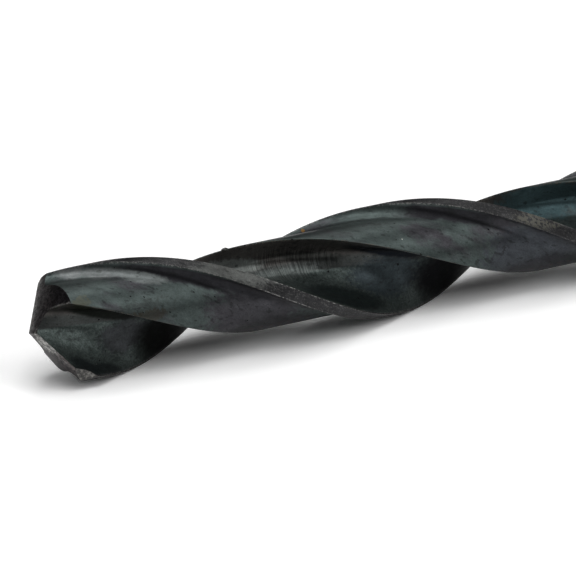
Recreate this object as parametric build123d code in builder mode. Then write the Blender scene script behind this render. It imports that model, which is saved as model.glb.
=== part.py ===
from build123d import *

import os
from math import asin, atan, cos, degrees, pi, radians, sin, sqrt, tan

# A two-flute twist drill, ground from one round bar of high-speed steel.
# Millimetres and degrees. The drill's axis is X: the point is at the -X end, the middle of the
# shank's end face is the origin, and Z is up as the drill lies on a table.

# Lengths along the axis
overall_length = 133.0
flute_length = 87.0              # from the point to where the flutes have run out
shank_chamfer = 0.6

# Diameter and twist
drill_diameter = 10.0            # at the outer corners of the lips
shank_diameter = 9.95            # the body tapers back to this, so that the margins don't rub
helix_angle = 28.0
lay_angle = 39.3                 # how the drill lies on its side: from +Y up to one lip's outer corner

# Cross-section, square to the axis
web_thickness = 1.41             # the core left between the two flutes
margin_width = 1.29              # the narrow strip at full diameter, along the circle
body_clearance = 1.15            # how far the land behind the margin lies below it
margin_wall = 0.1                # the margin's back wall drops this far, then curves out to the land
land_angle = 90.0                # from the cutting edge round to the heel
flute_corner_radius = 1.89       # from the axis to where the flute's root and the heel's wall would meet
flute_corner_angle = 67.0        # from the cutting edge round to that corner
flute_corner_fillet = 0.9
run_out_radius = 30.0            # the fluting wheel's radius, which the flutes rise along
shank_gap = 1.0                  # from the flutes' end to the shank proper
rake_steps = 6

# Point
point_angle = 118.0
lip_relief_angle = 7.0           # how fast each flank falls away behind its lip
relief_cone_angle = 45.0         # half the angle of the cone that each flank is part of
relief_cone_offset = 4.5         # from the drill's axis to the cone's tip, square to the axis

# Worked out from the sizes above
drill_radius = drill_diameter / 2
shank_radius = shank_diameter / 2
half_web = web_thickness / 2
land_radius = drill_radius - body_clearance
half_point = radians(point_angle / 2)
turn_per_mm = 360 * tan(radians(helix_angle)) / (pi * drill_diameter)
lip_reach = sqrt(drill_radius**2 - half_web**2)
point_height = lip_reach / tan(half_point)
lip_lag = degrees(asin(half_web / drill_radius))
margin_angle = degrees(margin_width / drill_radius)

lip_cross_x = -overall_length    # where the lips' lines would cross the axis
corner_x = lip_cross_x + point_height
flute_end_x = lip_cross_x + flute_length
shank_start_x = flute_end_x + shank_gap
bar_start_x = lip_cross_x - drill_radius
oversize_reach = 1.2 * lip_reach   # the cuts reach out past the bar's surface
oversize_radius = sqrt(oversize_reach**2 + half_web**2)
square_to_axis = Location(Plane.YZ)


def around(radius, angle):
    """A point of the section, at this angle from the cutting edge towards the heel."""
    return Vector(radius, 0).rotate(Axis.Z, angle)


def rake_point(reach, cutting_edge):
    """A point of the lip, turned on by the helix: the flute's wall that leaves the lip straight."""
    below_corner = (lip_reach - reach) / tan(half_point)
    turned_on = lip_lag + turn_per_mm * below_corner
    return Vector(reach, -half_web).rotate(Axis.Z, cutting_edge + turned_on)


# The round bar, tapered a little from the lips' corners to the shank, with its end chamfered.
taper = (drill_radius - shank_radius) / (shank_start_x - corner_x)
bar_start_radius = drill_radius + taper * (corner_x - bar_start_x)

with BuildPart() as bar:
    with BuildSketch(Plane.XZ):
        with BuildLine():
            Polyline((bar_start_x, 0), (bar_start_x, bar_start_radius), (shank_start_x, shank_radius))
            Polyline((shank_start_x, shank_radius), (0, shank_radius), (0, 0), (bar_start_x, 0))
        make_face()
    revolve(axis=Axis.X)
    chamfer(bar.edges().sort_by(Axis.X)[-1], length=shank_chamfer)

# The fluting wheel lifts out along its own curve: past it the bar stays whole.
wheel_depth = drill_radius - half_web
run_out_length = sqrt(run_out_radius**2 - (run_out_radius - wheel_depth) ** 2)

with BuildPart() as run_out:
    with BuildSketch(Plane.XZ):
        with BuildLine():
            lift_start = Vector(flute_end_x - run_out_length, half_web)
            lift_end = Vector(flute_end_x, drill_radius)
            TangentArc(lift_start, lift_end, tangent=(1, 0))
            Polyline(lift_end, (shank_start_x, oversize_radius), (shank_start_x, 0))
            Polyline((shank_start_x, 0), (lift_start.X, 0), lift_start)
        make_face()
    revolve(axis=Axis.X)

# Each flute is one helical cut, which also lowers the land behind the margin. The cut's outline
# runs from the margin over the land to the heel, down the heel's wall and out along the rake.
wall_foot_radius = drill_radius - margin_wall
hollow_radius = (wall_foot_radius**2 - land_radius**2) / (2 * land_radius)
land_start_angle = margin_angle + degrees(atan(hollow_radius / wall_foot_radius))
section_turn = lay_angle - turn_per_mm * (corner_x - bar_start_x)
section_plane = Plane(square_to_axis * Location((0, 0, bar_start_x), (0, 0, section_turn)))

with BuildPart() as flute_cut:
    with BuildSketch(section_plane):
        for land in (0, 180):
            next_edge = land + 180
            with BuildLine():
                wall_end = land + margin_angle
                wall = Line(around(oversize_radius, wall_end), around(wall_foot_radius, wall_end))
                land_start = around(land_radius, land + land_start_angle)
                TangentArc(land_start, wall @ 1, tangent=around(1, land + land_start_angle - 90))
                CenterArc((0, 0), land_radius, land + land_start_angle, land_angle - land_start_angle)
                heel = around(land_radius, land + land_angle)
                flute_corner = around(flute_corner_radius, land + flute_corner_angle)
                web_end = rake_point(0, next_edge)
                FilletPolyline(heel, flute_corner, web_end, radius=flute_corner_fillet)
                rake_reaches = [oversize_reach * step / rake_steps for step in range(rake_steps + 1)]
                rake = Spline(*[rake_point(reach, next_edge) for reach in rake_reaches])
                ThreePointArc(rake @ 1, around(oversize_radius, land + 90), wall @ 0)
            make_face()
    with BuildLine():
        bar_axis = Line((bar_start_x, 0, 0), (flute_end_x, 0, 0))
    with BuildLine():
        twist = Helix(
            pitch=360 / turn_per_mm,
            height=flute_end_x - bar_start_x,
            radius=drill_radius,
            center=(bar_start_x, 0, 0),
            direction=(1, 0, 0),
        )
    sweep(path=bar_axis, binormal=twist)
    add(run_out.part, mode=Mode.SUBTRACT)

# Each flank is part of a cone that the lip lies along. The grinding takes all that stands in front.
relief_tilt = degrees(atan(sin(half_point) * tan(radians(lip_relief_angle))))
cone_length = 2 * drill_diameter
cone_radius = cone_length * tan(radians(relief_cone_angle))
cut_depth = point_height + drill_diameter / 5

with BuildPart() as point_cut:
    for land in (0, 180):
        lip_turn = lay_angle + lip_lag + land
        lip_frame = square_to_axis * Location((0, 0, lip_cross_x), (0, 0, lip_turn))
        lip_line = lip_frame * Location((0, -half_web, 0), (0, point_angle / 2 - 90, 0))
        cone_tip = lip_line * Location((-relief_cone_offset / sin(half_point), 0, 0))
        cone_seat = cone_tip * Location((0, 0, 0), (90 + relief_tilt, 0, relief_cone_angle))
        with BuildPart(mode=Mode.PRIVATE) as flank_cut:
            with Locations(lip_frame * Location((-half_web, 0, cut_depth))):
                Box(
                    oversize_radius,
                    2 * oversize_radius,
                    cut_depth + drill_diameter,
                    align=(Align.MIN, Align.CENTER, Align.MAX),
                )
            with Locations(cone_seat * Location((0, 0, 0), (0, 90, 0))):
                Cone(
                    0,
                    cone_radius,
                    cone_length,
                    align=(Align.CENTER, Align.CENTER, Align.MIN),
                    mode=Mode.SUBTRACT,
                )
        add(flank_cut.part)

with BuildPart() as twist_drill:
    add(bar.part)
    add(flute_cut.part, mode=Mode.SUBTRACT)
    add(point_cut.part, mode=Mode.SUBTRACT)

os.makedirs("parts", exist_ok=True)
twist_drill.part.label = "twist_drill"
export_step(twist_drill.part, "parts/twist_drill.step")
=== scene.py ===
from math import acos, asin, atan, cos, degrees, pi, radians, sin, sqrt, tan

import bmesh
import bpy
from mathutils import Matrix, Vector, noise


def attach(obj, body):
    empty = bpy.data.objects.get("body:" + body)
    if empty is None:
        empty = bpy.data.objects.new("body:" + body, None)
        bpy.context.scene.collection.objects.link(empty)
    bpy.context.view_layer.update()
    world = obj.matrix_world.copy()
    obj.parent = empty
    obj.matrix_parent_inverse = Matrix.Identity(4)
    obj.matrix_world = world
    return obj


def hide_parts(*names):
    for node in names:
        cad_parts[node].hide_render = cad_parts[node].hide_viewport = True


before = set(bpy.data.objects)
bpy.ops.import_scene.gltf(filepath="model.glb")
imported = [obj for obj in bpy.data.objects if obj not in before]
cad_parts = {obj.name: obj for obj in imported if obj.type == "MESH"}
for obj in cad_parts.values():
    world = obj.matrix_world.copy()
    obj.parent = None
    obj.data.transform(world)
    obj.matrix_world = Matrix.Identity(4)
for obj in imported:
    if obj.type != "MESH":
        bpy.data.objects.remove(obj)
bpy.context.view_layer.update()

mm = 0.001

# The drill's fluted body, ground from a round bar of high-speed steel. Behind each cutting edge lie
# a narrow margin at full size, a hollow and a lowered land, which ends at the heel. Between the two
# lands run the flutes, ground as a right-hand helix. Their corners are worn a little round.
drill_radius = 5.0 * mm
shank_radius = 4.975 * mm
half_web = 0.705 * mm
land_radius = 3.85 * mm
margin_wall = 0.1 * mm
margin_angle = radians(14.78)
land_angle = radians(90)
flute_corner_radius = 1.89 * mm
flute_corner_angle = radians(67)
flute_corner_fillet = 0.9 * mm
helix_angle = radians(28)
half_point = radians(59)
lip_cross_x = -133 * mm
flute_end_x = -46 * mm
shank_start_x = -45 * mm
body_start_x = lip_cross_x - 1 * mm
body_end_x = flute_end_x + 0.4 * mm
twist_rate = tan(helix_angle) / drill_radius
lay_angle = radians(39.3)
edge_round = 0.05 * mm
heel_round = 0.09 * mm

lip_reach = sqrt(drill_radius**2 - half_web**2)
point_height = lip_reach / tan(half_point)
corner_x = lip_cross_x + point_height
lip_lag = asin(half_web / drill_radius)
lip_angle = lay_angle + lip_lag
on_axis = Vector((0, 0, 0))

margin_steps = 6
hollow_steps = 10
land_steps = 22
rake_steps = 16
longest_side = 0.5 * mm
slice_length = 0.5 * mm
corner_reach = 0.01 * mm
merge_distance = 0.002 * mm


def around(radius, angle):
    """A point of the cross-section, this far round from the cutting edge towards the heel."""
    return Vector((0, radius * cos(angle), radius * sin(angle)))


def arc(section, start, centre, angle, steps):
    """Carries a point round a centre, which leaves an arc in the section. Returns its two ends."""
    first = section.verts.new(start)
    carried = bmesh.ops.spin(
        section, geom=[first], cent=centre, axis=(1, 0, 0), angle=angle, steps=steps, use_duplicate=False
    )
    return first, carried["geom_last"][0]


def rake_point(reach):
    """The lip's point at this reach, turned on by the helix to the level of the cutting edge's corner."""
    turned_on = pi + lip_lag + twist_rate * (lip_reach - reach) / tan(half_point)
    return Matrix.Rotation(turned_on, 3, "X") @ Vector((0, reach, -half_web))


def mesh_of(form, name, material):
    """The modelled form as a mesh of this material."""
    mesh = bpy.data.meshes.new(name)
    form.to_mesh(mesh)
    mesh.materials.append(material)
    return mesh


def put_in_scene(name, data):
    """An object at the origin that holds this mesh, lamp or camera."""
    thing = bpy.data.objects.new(name, data)
    bpy.context.scene.collection.objects.link(thing)
    return thing


section = bmesh.new()
_, margin_end = arc(section, around(drill_radius, 0), on_axis, margin_angle, margin_steps)

wall_radius = drill_radius - margin_wall
hollow_curve = (wall_radius**2 - land_radius**2) / (2 * land_radius)
hollow_turn = atan(hollow_curve / wall_radius)
hollow_middle = around(land_radius + hollow_curve, margin_angle + hollow_turn)
hollow_start, _ = arc(
    section, around(wall_radius, margin_angle), hollow_middle, hollow_turn - pi / 2, hollow_steps
)
land_start_angle = margin_angle + hollow_turn
_, heel = arc(
    section, around(land_radius, land_start_angle), on_axis, land_angle - land_start_angle, land_steps
)

flute_corner = section.verts.new(around(flute_corner_radius, flute_corner_angle))
web_end = section.verts.new(rake_point(0))
section.edges.new((margin_end, hollow_start))
section.edges.new((heel, flute_corner))
section.edges.new((flute_corner, web_end))
corner_opening = (heel.co - flute_corner.co).angle(web_end.co - flute_corner.co)
fillet_reach = flute_corner_fillet / tan(corner_opening / 2)
bmesh.ops.bevel(
    section, geom=[flute_corner], offset=fillet_reach, offset_type="OFFSET", segments=14, profile=0.5,
    affect="VERTICES", material=-1,
)
rake_end = web_end
for step in range(1, rake_steps + 1):
    rake_next = section.verts.new(rake_point(lip_reach * step / rake_steps))
    section.edges.new((rake_end, rake_next))
    rake_end = rake_next
long_sides = [edge for edge in section.edges if edge.calc_length() > longest_side]
bmesh.ops.subdivide_edges(section, edges=long_sides, cuts=6)
bmesh.ops.remove_doubles(section, verts=section.verts, dist=merge_distance)

other_half = bmesh.ops.duplicate(section, geom=section.verts[:] + section.edges[:])["geom"]
other_verts = [part for part in other_half if isinstance(part, bmesh.types.BMVert)]
bmesh.ops.rotate(section, verts=other_verts, cent=on_axis, matrix=Matrix.Rotation(pi, 3, "X"))
bmesh.ops.remove_doubles(section, verts=section.verts, dist=merge_distance)

for radius, angle, worn_round in (
    (drill_radius, 0, edge_round),
    (drill_radius, margin_angle, edge_round),
    (land_radius, land_angle, heel_round),
):
    for half_turn in (0, pi):
        edge_place = around(radius, angle + half_turn)
        sharp = [vert for vert in section.verts if (vert.co - edge_place).length < corner_reach]
        bmesh.ops.bevel(
            section, geom=sharp, offset=worn_round, offset_type="OFFSET", segments=3, profile=0.5,
            affect="VERTICES", material=-1,
        )

slices = round((body_end_x - body_start_x) / slice_length)
helix_step = (body_end_x - body_start_x) / slices
start_turn = Matrix.Rotation(lay_angle - twist_rate * (corner_x - body_start_x), 3, "X")
bmesh.ops.rotate(section, verts=section.verts, cent=on_axis, matrix=start_turn)
bmesh.ops.translate(section, verts=section.verts, vec=(body_start_x, 0, 0))
front_edges = section.edges[:]
twisted = bmesh.ops.spin(
    section, geom=section.verts[:] + section.edges[:], cent=on_axis, axis=(1, 0, 0),
    dvec=(helix_step, 0, 0), angle=twist_rate * helix_step * slices, steps=slices, use_duplicate=False,
)
back_edges = [part for part in twisted["geom_last"] if isinstance(part, bmesh.types.BMEdge)]
bmesh.ops.contextual_create(section, geom=front_edges)
bmesh.ops.contextual_create(section, geom=back_edges)
back_taper = (drill_radius - shank_radius) / (shank_start_x - corner_x) / drill_radius
for vert in section.verts:
    vert.co.yz *= 1 - back_taper * (vert.co.x - corner_x)
bmesh.ops.recalc_face_normals(section, faces=section.faces)

black_oxide = bpy.data.materials.new("black_oxide")
drill = put_in_scene("drill", mesh_of(section, "drill_body", black_oxide))

# The shank, the bar left whole. The flutes run out into it along the fluting wheel's own curve,
# and its end is chamfered.
wheel_radius = 30 * mm
shank_chamfer = 0.6 * mm
rim_overlap = 0.05 * mm
rim_inset = 0.005 * mm
lift_steps = 24
bar_sides = 144
lift = acos(1 - (drill_radius - half_web) / wheel_radius)
lift_start_x = flute_end_x - wheel_radius * sin(lift)


def shape_with(target, mesh, operation):
    """Joins a form to the target, or grinds it away. The cut keeps the form's material."""
    tool = put_in_scene("tool", mesh)
    change = target.modifiers.new("shape", "BOOLEAN")
    change.operation = operation
    change.solver = "EXACT"
    change.material_mode = "TRANSFER"
    change.object = tool
    bpy.context.view_layer.update()
    shaped = bpy.data.meshes.new_from_object(target.evaluated_get(bpy.context.evaluated_depsgraph_get()))
    target.modifiers.clear()
    target.data = shaped
    bpy.data.objects.remove(tool)


shank = bmesh.new()
core_end = shank.verts.new((lift_start_x, half_web, 0))
lift_middle = Vector((lift_start_x, half_web + wheel_radius, 0))
lifted = bmesh.ops.spin(
    shank, geom=[core_end], cent=lift_middle, axis=(0, 0, 1), angle=lift, steps=lift_steps,
    use_duplicate=False,
)
outline = [lifted["geom_last"][0]]
for x, radius in (
    (flute_end_x + rim_overlap, drill_radius - rim_inset),
    (shank_start_x, shank_radius),
    (-shank_chamfer, shank_radius),
    (0, shank_radius - shank_chamfer),
    (0, 0),
):
    outline.append(shank.verts.new((x, radius, 0)))
    shank.edges.new(outline[-2:])
core_middle = shank.verts.new((lift_start_x, 0, 0))
shank.edges.new((core_middle, core_end))
bmesh.ops.spin(
    shank, geom=shank.verts[:] + shank.edges[:], cent=on_axis, axis=(1, 0, 0), angle=2 * pi,
    steps=bar_sides, use_merge=True, use_duplicate=False,
)
bmesh.ops.remove_doubles(shank, verts=shank.verts, dist=merge_distance / 2)
bmesh.ops.recalc_face_normals(shank, faces=shank.faces)
shape_with(drill, mesh_of(shank, "shank_form", black_oxide), "UNION")

# The point, ground last and so left bare. Each flank is part of a cone that its lip lies along, so it
# falls away behind the lip, and the two flanks meet in the chisel edge.
lip_relief = radians(7)
relief_tilt = atan(sin(half_point) * tan(lip_relief))
cone_angle = radians(45)
cone_offset = 4.5 * mm
cone_length = 20 * mm
block_side = 1.3 * drill_radius
block_behind = point_height + 2 * mm
block_ahead = 10 * mm
backward = Vector((1, 0, 0))
ground_steel = bpy.data.materials.new("ground_steel")
for half_turn in (0, pi):
    lip_turn = Matrix.Rotation(lip_angle + half_turn, 3, "X")
    outward = lip_turn @ Vector((0, 1, 0))
    behind = lip_turn @ Vector((0, 0, 1))
    along_lip = backward * cos(half_point) + outward * sin(half_point)
    into = backward * sin(half_point) - outward * cos(half_point)
    into = into * cos(relief_tilt) - behind * sin(relief_tilt)
    lip_cross = backward * lip_cross_x - behind * half_web
    cone_axis = along_lip * cos(cone_angle) + into * sin(cone_angle)
    cone_seat = cone_axis.to_track_quat("Z", "Y").to_matrix().to_4x4()
    cone_seat.translation = lip_cross - along_lip * (cone_offset / sin(half_point))

    block = bmesh.new()
    block_x = lip_cross_x + (block_behind - block_ahead) / 2
    block_seat = lip_turn.to_4x4()
    block_seat.translation = backward * block_x + outward * (block_side / 2 - half_web)
    block_size = Matrix.Diagonal((block_behind + block_ahead, block_side, 2 * block_side, 1))
    bmesh.ops.create_cube(block, size=1, matrix=block_seat @ block_size)
    flank_cut = put_in_scene("flank_cut", mesh_of(block, "flank_cut", ground_steel))

    cone = bmesh.new()
    bmesh.ops.create_cone(
        cone, cap_ends=True, segments=720, radius1=0, radius2=cone_length * tan(cone_angle),
        depth=cone_length, matrix=cone_seat @ Matrix.Translation((0, 0, cone_length / 2)),
    )
    bmesh.ops.recalc_face_normals(cone, faces=cone.faces)
    shape_with(flank_cut, mesh_of(cone, "relief_cone", ground_steel), "DIFFERENCE")
    shape_with(drill, flank_cut.data, "DIFFERENCE")
    bpy.data.objects.remove(flank_cut)

# Use has broken a chip from one lip's outer corner, rubbed the other corner down and nicked the heels.
# Each corner's hollow is round, and its rim passes through three points of the surface: on the lip, along
# the cutting edge and on the margin. What is broken shows bare grey steel.
hollow_grain = 0.4 * mm
hollow_roughness = 0.03 * mm
margin_loss_x = corner_x + 0.1 * mm
nick_radius = 0.17 * mm
bare_steel = bpy.data.materials.new("bare_steel")
hollows = bmesh.new()
for half_turn, lip_loss, edge_loss, margin_loss, hollow_radius in (
    (pi, 0.75 * mm, 2.0 * mm, radians(15), 5.0 * mm),
    (0, 0.3 * mm, 0.5 * mm, radians(5), 2.5 * mm),
):
    edge_angle = lay_angle + half_turn
    reach = lip_reach - lip_loss
    on_lip = Matrix.Rotation(lip_angle + half_turn, 3, "X") @ Vector((0, reach, -half_web))
    on_lip.x = lip_cross_x + reach / tan(half_point)
    on_edge = around(drill_radius, edge_angle + twist_rate * edge_loss)
    on_edge.x = corner_x + edge_loss
    on_margin = around(drill_radius, edge_angle + margin_loss)
    on_margin.x = margin_loss_x
    first = on_edge - on_lip
    second = on_margin - on_lip
    facing = first.cross(second)
    to_middle = second.length_squared * facing.cross(first) + first.length_squared * second.cross(facing)
    rim_middle = on_lip + to_middle / (2 * facing.length_squared)
    if facing.dot(around(1, edge_angle)) < 0:
        facing.negate()
    lift_out = sqrt(hollow_radius**2 - (rim_middle - on_lip).length_squared)
    middle = rim_middle + facing.normalized() * lift_out
    ball = bmesh.ops.create_icosphere(
        hollows, subdivisions=4, radius=hollow_radius, matrix=Matrix.Translation(middle)
    )
    for vert in ball["verts"]:
        uneven = noise.fractal(vert.co / hollow_grain, 0.8, 2.0, 3)
        vert.co += (vert.co - middle).normalized() * (uneven * hollow_roughness)
for nick_x, half_turn in ((-120.9 * mm, 0), (-103.0 * mm, pi), (-94.6 * mm, pi)):
    nick_turn = lay_angle + land_angle + half_turn + twist_rate * (nick_x - corner_x)
    nick_place = around(land_radius + 0.6 * nick_radius, nick_turn) + Vector((nick_x, 0, 0))
    bmesh.ops.create_icosphere(
        hollows, subdivisions=2, radius=nick_radius, matrix=Matrix.Translation(nick_place)
    )
shape_with(drill, mesh_of(hollows, "hollow_form", bare_steel), "DIFFERENCE")

# A small burr of bare steel, pushed up where something has struck one heel. It is part of the drill,
# long and low, and lies along the heel's edge.
burr_x = -112.2 * mm
burr_shape = Matrix.Diagonal((0.36 * mm, 0.13 * mm, 0.10 * mm, 1))
burr_grain = 0.2 * mm
burr_roughness = 0.07 * mm
burr_seed = 3
burr_turn = lay_angle + land_angle + pi + twist_rate * (burr_x - corner_x)
burr_seat = Matrix.Rotation(burr_turn, 4, "X")
burr_seat.translation = around(land_radius, burr_turn) + Vector((burr_x, 0, 0))
burr = bmesh.new()
bmesh.ops.create_icosphere(burr, subdivisions=3, radius=1, matrix=burr_seat @ burr_shape)
noise.seed_set(burr_seed)
for vert in burr.verts:
    vert.co += noise.noise_vector(vert.co / burr_grain) * burr_roughness
shape_with(drill, mesh_of(burr, "burr_form", bare_steel), "UNION")

sharp_angle = radians(35)
drill.data.shade_smooth()
drill.data.set_sharp_from_angle(angle=sharp_angle)
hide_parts("twist_drill")
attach(drill, "root")

# The skin of black oxide, which the hot blacking bath leaves on the steel: greenish on the lands and in
# the flutes, violet where it is thin, rubbed bright along the edges, with pits, dust and stains, and with
# painted highlights and painted shade. Its effects work in coordinates with the helix turned straight,
# so that they follow the flutes.
margin_degrees = degrees(margin_angle)
heel_degrees = degrees(land_angle)

# In degrees round from the cutting edge: where the rake face's rim gives way to the margin, and where
# the painted shade in the hollow fades out, along a smoky rim.
rake_rim_degrees = (8, 9)
hollow_fade_degrees = (23, 31)
smoke_degrees = 16


def open_nodes(material):
    """The material's node tree and its shader."""
    material.use_nodes = True
    return material.node_tree, material.node_tree.nodes["Principled BSDF"]


def add_node(tree, kind, inputs, **options):
    """Adds a node with its options, and sets or joins its inputs."""
    node = tree.nodes.new("ShaderNode" + kind)
    for option, value in options.items():
        setattr(node, option, value)
    for socket, value in inputs.items():
        if isinstance(value, bpy.types.NodeSocket):
            tree.links.new(value, node.inputs[socket])
        else:
            node.inputs[socket].default_value = value
    return node


def effect(name, takes, gives):
    """An empty shader group with these sockets. Returns it with the nodes at its two ends."""
    group = bpy.data.node_groups.new(name, "ShaderNodeTree")
    for way, sockets in (("INPUT", takes), ("OUTPUT", gives)):
        for socket, kind in sockets.items():
            group.interface.new_socket(name=socket, in_out=way, socket_type="NodeSocket" + kind)
    return group, group.nodes.new("NodeGroupInput"), group.nodes.new("NodeGroupOutput")


def use(tree, group, inputs):
    """Places an effect in a material. Returns its outputs."""
    return add_node(tree, "Group", inputs, node_tree=group).outputs


def calculate(tree, operation, *values):
    """One step of arithmetic on these values."""
    return add_node(tree, "Math", dict(enumerate(values)), operation=operation).outputs[0]


def overlap(tree, mask, *others):
    """Where all these masks meet. One of them may be a plain number, the strength."""
    for other in others:
        mask = calculate(tree, "MULTIPLY", mask, other)
    return mask


def rescale(tree, value, start, end, low, high, kind="LINEAR"):
    """Carries the range from start to end over to the range from low to high."""
    inputs = {"Value": value, "From Min": start, "From Max": end, "To Min": low, "To Max": high}
    return add_node(tree, "MapRange", inputs, interpolation_type=kind).outputs["Result"]


def ramp(tree, value, start, end):
    """0 at the start, rising smoothly to 1 at the end."""
    return rescale(tree, value, start, end, 0, 1, "SMOOTHSTEP")


def fall(tree, value, start, end):
    """1 at the start, falling smoothly to 0 at the end."""
    return rescale(tree, value, start, end, 1, 0, "SMOOTHSTEP")


def band(tree, value, middle, full, none):
    """1 within the full distance of the middle, falling smoothly to 0 at the distance called none."""
    return fall(tree, calculate(tree, "ABSOLUTE", calculate(tree, "SUBTRACT", value, middle)), full, none)


def blend(tree, factor, first, second, mode="MIX"):
    """The first colour with this share of the second laid over it."""
    inputs = {"Factor": factor, "A": first, "B": second}
    return add_node(tree, "Mix", inputs, data_type="RGBA", blend_type=mode).outputs["Result"]


def shade(tree, colour, amount, factor=1):
    """The colour darkened or lightened by an amount that changes over the surface."""
    grey = add_node(tree, "CombineColor", {0: amount, 1: amount, 2: amount}).outputs[0]
    return blend(tree, factor, colour, grey, "MULTIPLY")


def noise_on(tree, place, **inputs):
    """Noise over these coordinates, with the noise texture's own inputs."""
    return add_node(tree, "TexNoise", {"Vector": place, **inputs}).outputs[0]


def stretch(tree, place, factors):
    """The coordinates times a factor for each direction."""
    return add_node(tree, "VectorMath", {0: place, 1: factors}, operation="MULTIPLY").outputs[0]


# Where a point lies on the ground section: its place with the helix turned straight, its angle from
# the cutting edge, its distance from the axis, and the section's parts as masks.
zones, _, zones_out = effect("helix_zones", {}, {
    "Straight": "Vector", "Round": "Float", "Radius": "Float", "Margin": "Float", "Hollow": "Float",
    "Flute": "Float", "Fluted": "Float",
})
on_drill = add_node(zones, "TexCoord", {}).outputs["Object"]
along = add_node(zones, "SeparateXYZ", {0: on_drill}).outputs["X"]
past_corner = calculate(zones, "SUBTRACT", along, corner_x)
unwind = calculate(zones, "MULTIPLY_ADD", past_corner, -twist_rate, -lay_angle)
unwound = add_node(
    zones, "VectorRotate", {"Vector": on_drill, "Angle": unwind}, rotation_type="X_AXIS"
).outputs[0]
crosswise = add_node(zones, "SeparateXYZ", {0: unwound}).outputs
full_angle = calculate(zones, "ARCTAN2", crosswise["Z"], crosswise["Y"])
round_angle = calculate(zones, "WRAP", calculate(zones, "DEGREES", full_angle), 180, 0)
flat = stretch(zones, unwound, (0, 1, 1))
from_axis = add_node(zones, "VectorMath", {0: flat}, operation="LENGTH").outputs["Value"]
fluted = fall(zones, along, flute_end_x - 0.6 * mm, flute_end_x - 0.2 * mm)

at_full_size = ramp(zones, from_axis, drill_radius - 0.2 * mm, drill_radius - 0.1 * mm)
before_wall = fall(zones, round_angle, margin_degrees - 0.38, margin_degrees + 0.22)
in_margin = overlap(zones, before_wall, at_full_size, fluted)

above_flute = ramp(zones, from_axis, land_radius - 0.13 * mm, land_radius - 0.05 * mm)
smoke = calculate(zones, "SUBTRACT", noise_on(zones, unwound, Scale=900, Detail=4), 0.5)
smoky_angle = calculate(zones, "MULTIPLY_ADD", smoke, -smoke_degrees, round_angle)
behind_wall = ramp(zones, round_angle, margin_degrees - 0.18, margin_degrees + 0.42)
in_hollow = overlap(zones, behind_wall, fall(zones, smoky_angle, *hollow_fade_degrees), above_flute, fluted)

past_rake = ramp(zones, round_angle, *rake_rim_degrees)
before_heel = fall(zones, round_angle, heel_degrees + 0.5, heel_degrees + 2)
on_land = overlap(zones, past_rake, before_heel, above_flute)
on_rim = ramp(zones, from_axis, drill_radius - 0.08 * mm, drill_radius - 0.04 * mm)
on_outside = calculate(zones, "MAXIMUM", on_land, on_rim)
in_flute = overlap(zones, calculate(zones, "SUBTRACT", 1, on_outside), fluted)

for socket, value in {
    "Straight": unwound, "Round": round_angle, "Radius": from_axis, "Margin": in_margin, "Hollow": in_hollow,
    "Flute": in_flute, "Fluted": fluted,
}.items():
    zones.links.new(value, zones_out.inputs[socket])

# Small broken marks: grains that show where the noise passes a level.
flecks, flecks_in, flecks_out = effect(
    "flecks", {"Vector": "Vector", "Scale": "Float", "Level": "Float"}, {"Mask": "Float"}
)
grain = noise_on(flecks, flecks_in.outputs["Vector"], Scale=flecks_in.outputs["Scale"], Detail=3)
above_level = calculate(flecks, "SUBTRACT", grain, flecks_in.outputs["Level"])
flecks.links.new(ramp(flecks, above_level, 0, 0.06), flecks_out.inputs["Mask"])

# Round dots scattered thinly, some missing: pits, or bright dust.
dots, dots_in, dots_out = effect(
    "dots", {"Vector": "Vector", "Scale": "Float", "Size": "Float", "Share": "Float"}, {"Mask": "Float"}
)
cell_inputs = {"Vector": dots_in.outputs["Vector"], "Scale": dots_in.outputs["Scale"]}
cells = add_node(dots, "TexVoronoi", cell_inputs)
chance = add_node(dots, "SeparateColor", {0: cells.outputs["Color"]})
kept = calculate(dots, "LESS_THAN", chance.outputs["Red"], dots_in.outputs["Share"])
dot_size = calculate(dots, "MULTIPLY", dots_in.outputs["Size"], chance.outputs["Green"])
in_dot = calculate(dots, "LESS_THAN", cells.outputs["Distance"], dot_size)
dots.links.new(overlap(dots, in_dot, kept), dots_out.inputs["Mask"])

# A single mark at one place on the drill, with a ragged rim.
mark, mark_in, mark_out = effect(
    "mark", {"Place": "Vector", "Size": "Vector", "Lean": "Float", "Ragged": "Float"}, {"Mask": "Float"}
)
at = add_node(mark, "TexCoord", {}).outputs["Object"]
offset = add_node(mark, "VectorMath", {0: at, 1: mark_in.outputs["Place"]}, operation="SUBTRACT").outputs[0]
leaning = {"Vector": offset, "Angle": mark_in.outputs["Lean"]}
leant = add_node(mark, "VectorRotate", leaning, rotation_type="Y_AXIS").outputs[0]
share = add_node(mark, "VectorMath", {0: leant, 1: mark_in.outputs["Size"]}, operation="DIVIDE").outputs[0]
distance = add_node(mark, "VectorMath", {0: share}, operation="LENGTH").outputs["Value"]
rag = calculate(mark, "SUBTRACT", noise_on(mark, at, Scale=2500, Detail=4), 0.5)
ragged_distance = calculate(mark, "MULTIPLY_ADD", rag, mark_in.outputs["Ragged"], distance)
mark.links.new(fall(mark, ragged_distance, 0.55, 1), mark_out.inputs["Mask"])


def spot(tree, place, size, ragged, lean=0):
    """The mask of a single mark. Place and size are in millimetres, the lean in degrees."""
    inputs = {
        "Place": [part * mm for part in place], "Size": [part * mm for part in size],
        "Lean": radians(lean), "Ragged": ragged,
    }
    return use(tree, mark, inputs)["Mask"]


def stain_or_painted_light(tree, colour, tone, strength, place, size, ragged, lean=0):
    """Lays a patch of this tone over the colour, at one spot: a stain, or painted light or shade."""
    here = overlap(tree, spot(tree, place, size, ragged, lean), strength)
    return blend(tree, here, colour, tone)


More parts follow.
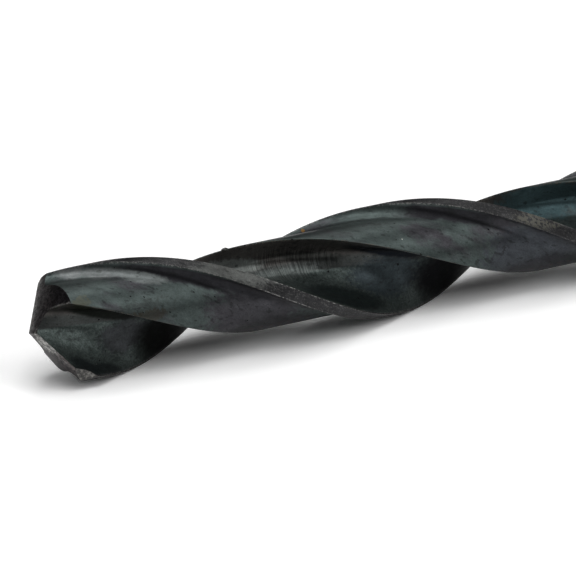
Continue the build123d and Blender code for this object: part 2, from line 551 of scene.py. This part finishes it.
skin, shader = open_nodes(black_oxide)
zone = use(skin, zones, {})
straight = zone["Straight"]
drawn = stretch(skin, straight, (0.6, 1, 1))
cloud = noise_on(skin, drawn, Scale=330, Detail=6, Roughness=0.62)
patchy = noise_on(skin, drawn, Scale=1300, Detail=6, Roughness=0.7)
fine = noise_on(skin, straight, Scale=7000, Detail=3, Roughness=0.7)

# The lands: green and violet clouds with their stains, painted highlights on top near the point and
# painted shade along their lower side, then painted shade in the hollow behind the margin. A patch is its
# tone, strength, place, size and raggedness.
green_grey = (0.045, 0.056, 0.054, 1)
violet_grey = (0.036, 0.035, 0.039, 1)
hollow_shade_tone = (0.017, 0.017, 0.019, 1)
land_colour = blend(skin, ramp(skin, cloud, 0.47, 0.66), green_grey, violet_grey)
for tone, strength, place, size, ragged in (
    (violet_grey, 0.95, (-112.5, -3.6, -0.6), (6.2, 3, 4.2), 1.2),
    ((0.036, 0.039, 0.045, 1), 0.9, (-83.5, -3.6, -0.6), (6.5, 3, 3.6), 1.2),
    # Painted highlights: pale patches on top of the lands near the point.
    ((0.105, 0.112, 0.112, 1), 0.9, (-128.0, 1.8, 4.25), (1.9, 1.6, 0.75), 0.6),
    ((0.098, 0.105, 0.105, 1), 0.9, (-125.6, 0.35, 4.15), (2.6, 1.8, 0.5), 0.6),
    # Painted shade along the lands' lower side.
    ((0.020, 0.020, 0.022, 1), 0.8, (-110.5, -2.8, -2.9), (6, 2, 1.8), 0.6),
    ((0.020, 0.020, 0.023, 1), 0.8, (-82.0, -3.0, -2.6), (6, 2, 1.9), 0.6),
    ((0.026, 0.029, 0.028, 1), 0.5, (-124.0, -3.4, 1.8), (3.4, 0.8, 0.7), 2.6),
):
    land_colour = stain_or_painted_light(skin, land_colour, tone, strength, place, size, ragged)
# Painted shade in the hollow behind the margin, along two stretches.
for place, size in (((-117.2, -2.6, 2.6), (10.4, 8, 8)), ((-91.0, -1.8, 3.6), (5.4, 6, 6))):
    hollow_shade = overlap(skin, spot(skin, place, size, 0.3), zone["Hollow"])
    land_colour = blend(skin, hollow_shade, land_colour, hollow_shade_tone)
# A painted highlight: a pale band that leans along the top of one land near the point.
land_colour = stain_or_painted_light(
    skin, land_colour, (0.098, 0.108, 0.107, 1), 0.9, (-122.75, -1.25, 3.72), (3.3, 2.4, 0.52), 0.4, -13
)

# The flutes: wavy green oxide, greyer at the root and on the heel's wall, with patches that lie along the
# helix: painted highlights, painted shade and the painted shadow under the heels' edges, besides a darker
# and a blue-green patch, and one stretch where the grinding marks still show across it.
wavy = noise_on(skin, straight, Scale=1900, Detail=3, Distortion=2.4)
flute_colour = blend(skin, ramp(skin, wavy, 0.40, 0.62), (0.033, 0.041, 0.039, 1), (0.051, 0.062, 0.059, 1))
at_root = overlap(skin, fall(skin, zone["Radius"], 1.6 * mm, 1.9 * mm), fall(skin, zone["Round"], 108, 120))
flute_colour = blend(skin, at_root, flute_colour, (0.037, 0.040, 0.039, 1))
on_heel_wall = overlap(
    skin, fall(skin, zone["Round"], 92, 96), ramp(skin, zone["Round"], 60, 68),
    ramp(skin, zone["Radius"], 1.2 * mm, 1.75 * mm),
)
flute_colour = blend(skin, on_heel_wall, flute_colour, (0.040, 0.038, 0.036, 1))
helix_lean = -17.4
for tone, strength, place, size, ragged, lean in (
    # Painted highlights along the flutes' bright band.
    ((0.110, 0.120, 0.115, 1), 0.85, (-112.0, 1.8, 1.6), (4.2, 2.4, 0.9), 0.6, 0),
    ((0.068, 0.077, 0.074, 1), 0.75, (-107.4, 0.3, 0.65), (4.6, 1.8, 0.6), 0.5, 0),
    # Painted shade in one flute.
    ((0.017, 0.018, 0.017, 1), 0.80, (-105.0, 0.0, 1.8), (4.8, 1.6, 0.6), 0.5, -8),
    ((0.029, 0.030, 0.033, 1), 0.85, (-124.2, -0.5, -1.7), (3.4, 1.6, 1.9), 1.0, 0),
    # Painted shade towards one flute's far end.
    ((0.021, 0.027, 0.031, 1), 0.85, (-97.2, -0.9, -1.2), (5.6, 1.8, 2.6), 0.9, 0),
    ((0.036, 0.062, 0.068, 1), 0.85, (-79.0, 1.2, 2.2), (6.0, 3.0, 2.6), 0.8, 0),
    # Painted shade low in the flutes, by the cutting edge and under the point.
    ((0.012, 0.016, 0.016, 1), 0.85, (-102.3, -3.1, -1.6), (6.5, 2.2, 1.0), 0.4, -19),
    ((0.013, 0.016, 0.017, 1), 0.85, (-129.0, -2.9, -3.1), (2.4, 1.6, 0.9), 0.4, -42),
    ((0.013, 0.016, 0.017, 1), 0.80, (-126.7, -2.0, -3.8), (2.6, 1.6, 0.55), 0.3, -19),
    # The painted shadow under the heels' edges, laid along the helix.
    ((0.004, 0.005, 0.004, 1), 0.95, (-126.4, -1.0, 1.0), (5.2, 1.3, 0.75), 0.3, helix_lean),
    ((0.009, 0.009, 0.005, 1), 0.95, (-128.6, -1.5, 2.5), (2.6, 1.4, 0.9), 0.4, helix_lean),
    ((0.003, 0.004, 0.006, 1), 0.95, (-97.6, -1.2, 1.35), (6.0, 1.5, 0.70), 0.3, helix_lean),
):
    flute_colour = stain_or_painted_light(skin, flute_colour, tone, strength, place, size, ragged, lean)
streaks = noise_on(skin, stretch(skin, straight, (9500, 420, 420)), Scale=1, Detail=4)
streaked = spot(skin, (-106.2, 0.1, 1.6), (5.6, 2.6, 1.8), 0.8)
streak_share = calculate(skin, "MULTIPLY_ADD", streaked, 0.95, 0.05)
flute_colour = shade(skin, flute_colour, rescale(skin, streaks, 0.38, 0.64, 0.65, 1.5), streak_share)

# The margins: a sandy grey, paler along one stretch. Then painted shade, near black, at the flutes' far
# ends, over all three.
margin_colour = (0.026, 0.026, 0.027, 1)
margin_colour = stain_or_painted_light(
    skin, margin_colour, (0.068, 0.071, 0.068, 1), 0.95, (-114.7, -3.7, 3.2), (6.0, 2.6, 2.7), 0.8
)
sandy = use(skin, flecks, {"Vector": straight, "Scale": 6500, "Level": 0.54})["Mask"]
margin_colour = blend(skin, overlap(skin, sandy, 0.3), margin_colour, (0.11, 0.11, 0.108, 1))
colour = blend(skin, zone["Flute"], land_colour, flute_colour)
colour = blend(skin, zone["Margin"], colour, margin_colour)
# Painted shade, near black, low in both flutes towards their far ends.
colour = stain_or_painted_light(skin, colour, (0.002, 0.002, 0.002, 1), 0.97, (-117.5, 0.5, -2.6), (6.7, 4, 4), 0.2)
colour = stain_or_painted_light(skin, colour, (0.002, 0.002, 0.003, 1), 0.97, (-87.3, 0.5, -2.4), (9.7, 4, 4), 0.2)

# Over the whole skin: uneven patches and fine grain, pits, smuts and a little bright dust.
uneven_patches = rescale(skin, patchy, 0.3, 0.7, 0.86, 1.5)
fine_grain = rescale(skin, fine, 0.3, 0.7, 0.82, 1.18)
colour = shade(skin, colour, calculate(skin, "MULTIPLY", uneven_patches, fine_grain))
pits = use(skin, dots, {"Vector": straight, "Scale": 1500, "Size": 0.17, "Share": 0.3})["Mask"]
colour = blend(skin, pits, colour, (0.006, 0.006, 0.006, 1))
smuts = use(skin, flecks, {"Vector": drawn, "Scale": 2300, "Level": 0.60})["Mask"]
colour = blend(skin, overlap(skin, smuts, 0.5), colour, (0.014, 0.015, 0.015, 1))
dust = use(skin, dots, {"Vector": straight, "Scale": 900, "Size": 0.05, "Share": 0.06})["Mask"]
colour = blend(skin, dust, colour, (0.45, 0.45, 0.42, 1))

# Wear: broken bright lines along the margins' two edges, strongest along one stretch, a dull line
# along the heels, a worn patch, a brown spot and two brown stains.
rub = use(skin, flecks, {"Vector": straight, "Scale": 7500, "Level": 0.50})["Mask"]
from_edge = calculate(skin, "PINGPONG", zone["Round"], 90)
cutting_edge = overlap(
    skin, fall(skin, from_edge, 0.3, 1.1),
    ramp(skin, zone["Radius"], drill_radius - 0.3 * mm, drill_radius - 0.15 * mm),
)
margin_edge = overlap(
    skin, band(skin, zone["Round"], margin_degrees, 0.3, 1.0),
    ramp(skin, zone["Radius"], drill_radius - 0.2 * mm, drill_radius - 0.1 * mm),
)
well_rubbed = spot(skin, (-107.2, -4.5, 0.6), (7.0, 2.5, 4.5), 0.6)
rubbed = overlap(
    skin, calculate(skin, "MAXIMUM", cutting_edge, margin_edge), rub,
    calculate(skin, "MULTIPLY_ADD", well_rubbed, 0.7, 0.3), zone["Fluted"],
)
colour = blend(skin, rubbed, colour, (0.34, 0.335, 0.32, 1))
heel_edge = overlap(
    skin, band(skin, zone["Round"], heel_degrees, 0.6, 1.8),
    ramp(skin, zone["Radius"], land_radius - 0.25 * mm, land_radius - 0.15 * mm),
)
colour = blend(skin, overlap(skin, heel_edge, rub, zone["Fluted"]), colour, (0.085, 0.080, 0.070, 1))
worn_grain = use(skin, flecks, {"Vector": straight, "Scale": 3300, "Level": 0.44})["Mask"]
worn_place = spot(skin, (-82.6, -4.1, 2.6), (4.2, 1.2, 1.6), 1.3)
worn_patch = overlap(skin, worn_place, zone["Margin"], worn_grain, 0.7)
colour = blend(skin, worn_patch, colour, (0.095, 0.093, 0.078, 1))
colour = stain_or_painted_light(skin, colour, (0.15, 0.085, 0.03, 1), 0.9, (-103.18, 3.55, 2.82), (0.22, 0.3, 0.22), 1.2)
colour = stain_or_painted_light(skin, colour, (0.040, 0.034, 0.026, 1), 0.6, (-123.4, -3.7, 1.0), (2.6, 0.5, 0.6), 2.0)
colour = stain_or_painted_light(skin, colour, (0.080, 0.080, 0.058, 1), 0.55, (-129.3, -2.3, 3.0), (0.9, 0.6, 0.5), 2.4)

# Its gloss follows the patches, duller on the margins. Its relief is the grain, the grinding marks
# and the pits.
rough = calculate(skin, "MULTIPLY_ADD", zone["Margin"], 0.06, rescale(skin, patchy, 0.3, 0.7, 0.40, 0.27))
relief = calculate(skin, "MULTIPLY_ADD", zone["Margin"], calculate(skin, "MULTIPLY", fine, 1.6), fine)
relief = calculate(skin, "MULTIPLY_ADD", overlap(skin, streaked, streaks), 2.0, relief)
relief = calculate(skin, "SUBTRACT", relief, calculate(skin, "MULTIPLY", pits, 3))
bump = add_node(skin, "Bump", {"Height": relief, "Distance": 0.006 * mm, "Strength": 1}).outputs[0]
skin.links.new(colour, shader.inputs["Base Color"])
skin.links.new(rough, shader.inputs["Roughness"])
skin.links.new(bump, shader.inputs["Normal"])
shader.inputs["Metallic"].default_value = 0.7
shader.inputs["Specular IOR Level"].default_value = 0.0

# The flanks' steel, ground last and left coarse: paler along the lip, stained brown, dark towards the
# heel, with a pale strip where the heel's wall cuts them off, and a painted highlight near the point.
def reach_along(tree, place, direction):
    """How far the place lies in this direction."""
    return add_node(tree, "VectorMath", {0: place, 1: direction}, operation="DOT_PRODUCT").outputs["Value"]


ground, shader = open_nodes(ground_steel)
zone = use(ground, zones, {})
on_flank = add_node(ground, "TexCoord", {}).outputs["Object"]
which_side = calculate(ground, "SIGN", reach_along(ground, on_flank, (0, cos(lip_angle), sin(lip_angle))))
past_lip = reach_along(ground, on_flank, (0, -sin(lip_angle), cos(lip_angle)))
behind_lip = calculate(ground, "MULTIPLY_ADD", past_lip, which_side, half_web)
coarse = noise_on(ground, on_flank, Scale=2900, Detail=4, Roughness=0.85)
blotch = noise_on(ground, on_flank, Scale=900, Detail=3)
colour = blend(ground, ramp(ground, blotch, 0.42, 0.6), (0.115, 0.113, 0.111, 1), (0.085, 0.075, 0.073, 1))
colour = blend(ground, ramp(ground, behind_lip, 0.3 * mm, 1.1 * mm), colour, (0.036, 0.032, 0.033, 1))
colour = blend(ground, ramp(ground, behind_lip, 1.6 * mm, 3.2 * mm), colour, (0.010, 0.009, 0.010, 1))

# How far a place lies from the heel's wall, which is a straight line in the folded section.
wall_facing = (0.957, 0.29)
wall_distance = 1.1165 * mm
folded_turn = calculate(ground, "RADIANS", zone["Round"])
from_wall = -wall_distance
for facing_part, operation in zip(wall_facing, ("COSINE", "SINE")):
    folded = calculate(ground, "MULTIPLY", zone["Radius"], calculate(ground, operation, folded_turn))
    from_wall = calculate(ground, "MULTIPLY_ADD", folded, facing_part, from_wall)
pale_strip = overlap(
    ground, fall(ground, from_wall, 0.12 * mm, 0.3 * mm), ramp(ground, zone["Radius"], 1.9 * mm, 2.3 * mm)
)
colour = blend(ground, pale_strip, colour, (0.085, 0.083, 0.08, 1))
# A painted highlight: a pale patch on one flank near the point.
colour = stain_or_painted_light(ground, colour, (0.22, 0.22, 0.21, 1), 0.8, (-132.2, -1.2, -0.6), (1.2, 1.5, 1.9), 0.6)
colour = shade(ground, colour, rescale(ground, coarse, 0.41, 0.61, 0.2, 2.2))
bump = add_node(ground, "Bump", {"Height": coarse, "Distance": 0.02 * mm, "Strength": 1}).outputs[0]
ground.links.new(colour, shader.inputs["Base Color"])
ground.links.new(bump, shader.inputs["Normal"])
shader.inputs["Metallic"].default_value = 1.0
shader.inputs["Roughness"].default_value = 0.48

# The steel of the broken and rubbed corners, the nicks and the burr. It has no oxide left, and is grey,
# grainy and dull.
bare, shader = open_nodes(bare_steel)
on_break = add_node(bare, "TexCoord", {}).outputs["Object"]
broken = noise_on(bare, on_break, Scale=2600, Detail=5, Roughness=0.7)
colour = blend(bare, ramp(bare, broken, 0.42, 0.68), (0.052, 0.051, 0.050, 1), (0.24, 0.235, 0.22, 1))
bump = add_node(bare, "Bump", {"Height": broken, "Distance": 0.02 * mm, "Strength": 1}).outputs[0]
bare.links.new(colour, shader.inputs["Base Color"])
bare.links.new(bump, shader.inputs["Normal"])
shader.inputs["Metallic"].default_value = 1.0
shader.inputs["Roughness"].default_value = 0.45

# The table top that the drill lies on: a sheet of matt white paper. It looks pure white, also where the
# steel mirrors it, and throws back as much light as plain paper does.
floor_half_width = 3
paper_white = (0.85, 0.85, 0.85, 1)
seen_white = (1.15, 1.15, 1.15, 1)
paper = bpy.data.materials.new("white_paper")
sheet, shader = open_nodes(paper)
path = add_node(sheet, "LightPath", {}).outputs
seen = calculate(sheet, "MAXIMUM", path["Is Camera Ray"], path["Is Glossy Ray"])
seen = calculate(sheet, "MAXIMUM", seen, path["Is Transmission Ray"])
sheet.links.new(blend(sheet, seen, paper_white, seen_white), shader.inputs["Base Color"])
shader.inputs["Roughness"].default_value = 1.0
shader.inputs["Specular IOR Level"].default_value = 0.0
floor = bmesh.new()
bmesh.ops.create_grid(
    floor, x_segments=1, y_segments=1, size=floor_half_width,
    matrix=Matrix.Translation((0, 0, -drill_radius)),
)
put_in_scene("floor", mesh_of(floor, "floor", paper))

# The light: nine softboxes around and above the drill, and a faint white sky. The strongest hang
# overhead and at the front.
lit_place = Vector((-0.1, 0, 0))
world = bpy.data.worlds.new("studio")
bpy.context.scene.world = world
world.use_nodes = True
world.node_tree.nodes["Background"].inputs["Color"].default_value = (1, 1, 1, 1)
world.node_tree.nodes["Background"].inputs["Strength"].default_value = 0.03


def lamp(name, bearing, height, size, power):
    """A softbox a metre from the drill, at this bearing and height in degrees."""
    light = bpy.data.lights.new(name, "AREA")
    light.shape = "RECTANGLE"
    light.size, light.size_y = size
    light.energy = power
    holder = put_in_scene(name, light)
    turned = Matrix.Rotation(radians(bearing), 3, "Z") @ Matrix.Rotation(-radians(height), 3, "Y")
    away = turned @ Vector((1, 0, 0))
    holder.location = lit_place + away
    holder.rotation_mode = "QUATERNION"
    holder.rotation_quaternion = (-away).to_track_quat("-Z", "Y")


lamp("overhead_left", -135, 70, (0.53, 0.53), 2.9)
lamp("overhead_right", 45, 70, (0.53, 0.53), 2.5)
lamp("overhead_front", -45, 70, (0.53, 0.53), 1.3)
lamp("overhead_back", 135, 70, (0.53, 0.53), 0.6)
lamp("front_right", -45, 33, (0.45, 0.78), 2.5)
lamp("front", -90, 42, (0.83, 0.45), 1.1)
lamp("left", -165, 28, (0.60, 0.45), 1.2)
lamp("back_left", 145, 38, (0.80, 0.45), 1.0)
lamp("back_right", 45, 42, (0.37, 0.45), 0.5)

# The camera: a long lens that stands off the point, a little above the table, and looks back along
# the drill.
camera = bpy.data.cameras.new("camera")
camera.sensor_width = 36
camera.lens = 437.53125
camera.clip_start = 0.05
camera.clip_end = 20
across = Vector((0.8546, -0.5192, 0)).normalized()
ahead = Vector((0.4869, 0.8015, -0.3471)).normalized()
upward = across.cross(ahead).normalized()
across = ahead.cross(upward).normalized()
stand = Matrix((across, upward, -ahead)).transposed().to_4x4()
stand.translation = (-0.4090, -0.4973, 0.2146)
viewer = put_in_scene("camera", camera)
viewer.matrix_world = stand
bpy.context.scene.camera = viewer
bpy.context.scene.view_settings.view_transform = "Standard"
